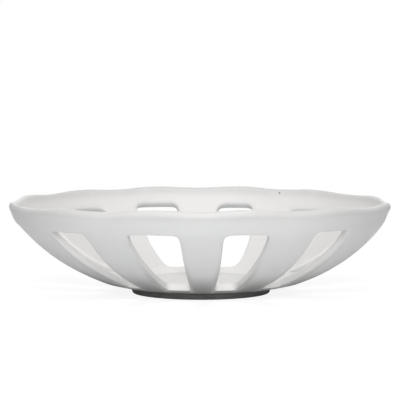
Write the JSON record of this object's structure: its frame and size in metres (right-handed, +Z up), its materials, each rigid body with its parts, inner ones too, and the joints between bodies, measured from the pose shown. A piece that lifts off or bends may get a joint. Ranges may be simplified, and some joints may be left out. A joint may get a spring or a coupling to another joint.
{
  "type": "fruit bowl",
  "caption": "Wide shallow stoneware bowl with tall rounded windows cut through its wall, a gently waved lip and a low bare foot, for holding and airing fruit.",
  "frame": {"origin": "on the table, under the middle of the bowl", "axes": "+Z up through the middle of the bowl, -Y towards the front"},
  "size_m": [0.3801, 0.3796, 0.096],
  "materials": {
    "white_glaze": "satin white glaze with faint unevenness",
    "bare_clay": "bare dark stoneware, fine grain"
  },
  "bodies": {
    "root": {"foot_ring": "bare_clay", "floor_dish": "white_glaze", "rim_band": "white_glaze", "rib_01": "white_glaze", "rib_02": "white_glaze", "rib_03": "white_glaze", "rib_04": "white_glaze", "rib_05": "white_glaze", "rib_06": "white_glaze", "rib_07": "white_glaze", "rib_08": "white_glaze", "rib_09": "white_glaze", "rib_10": "white_glaze", "rib_11": "white_glaze", "rib_12": "white_glaze"}
  },
  "joints": []
}
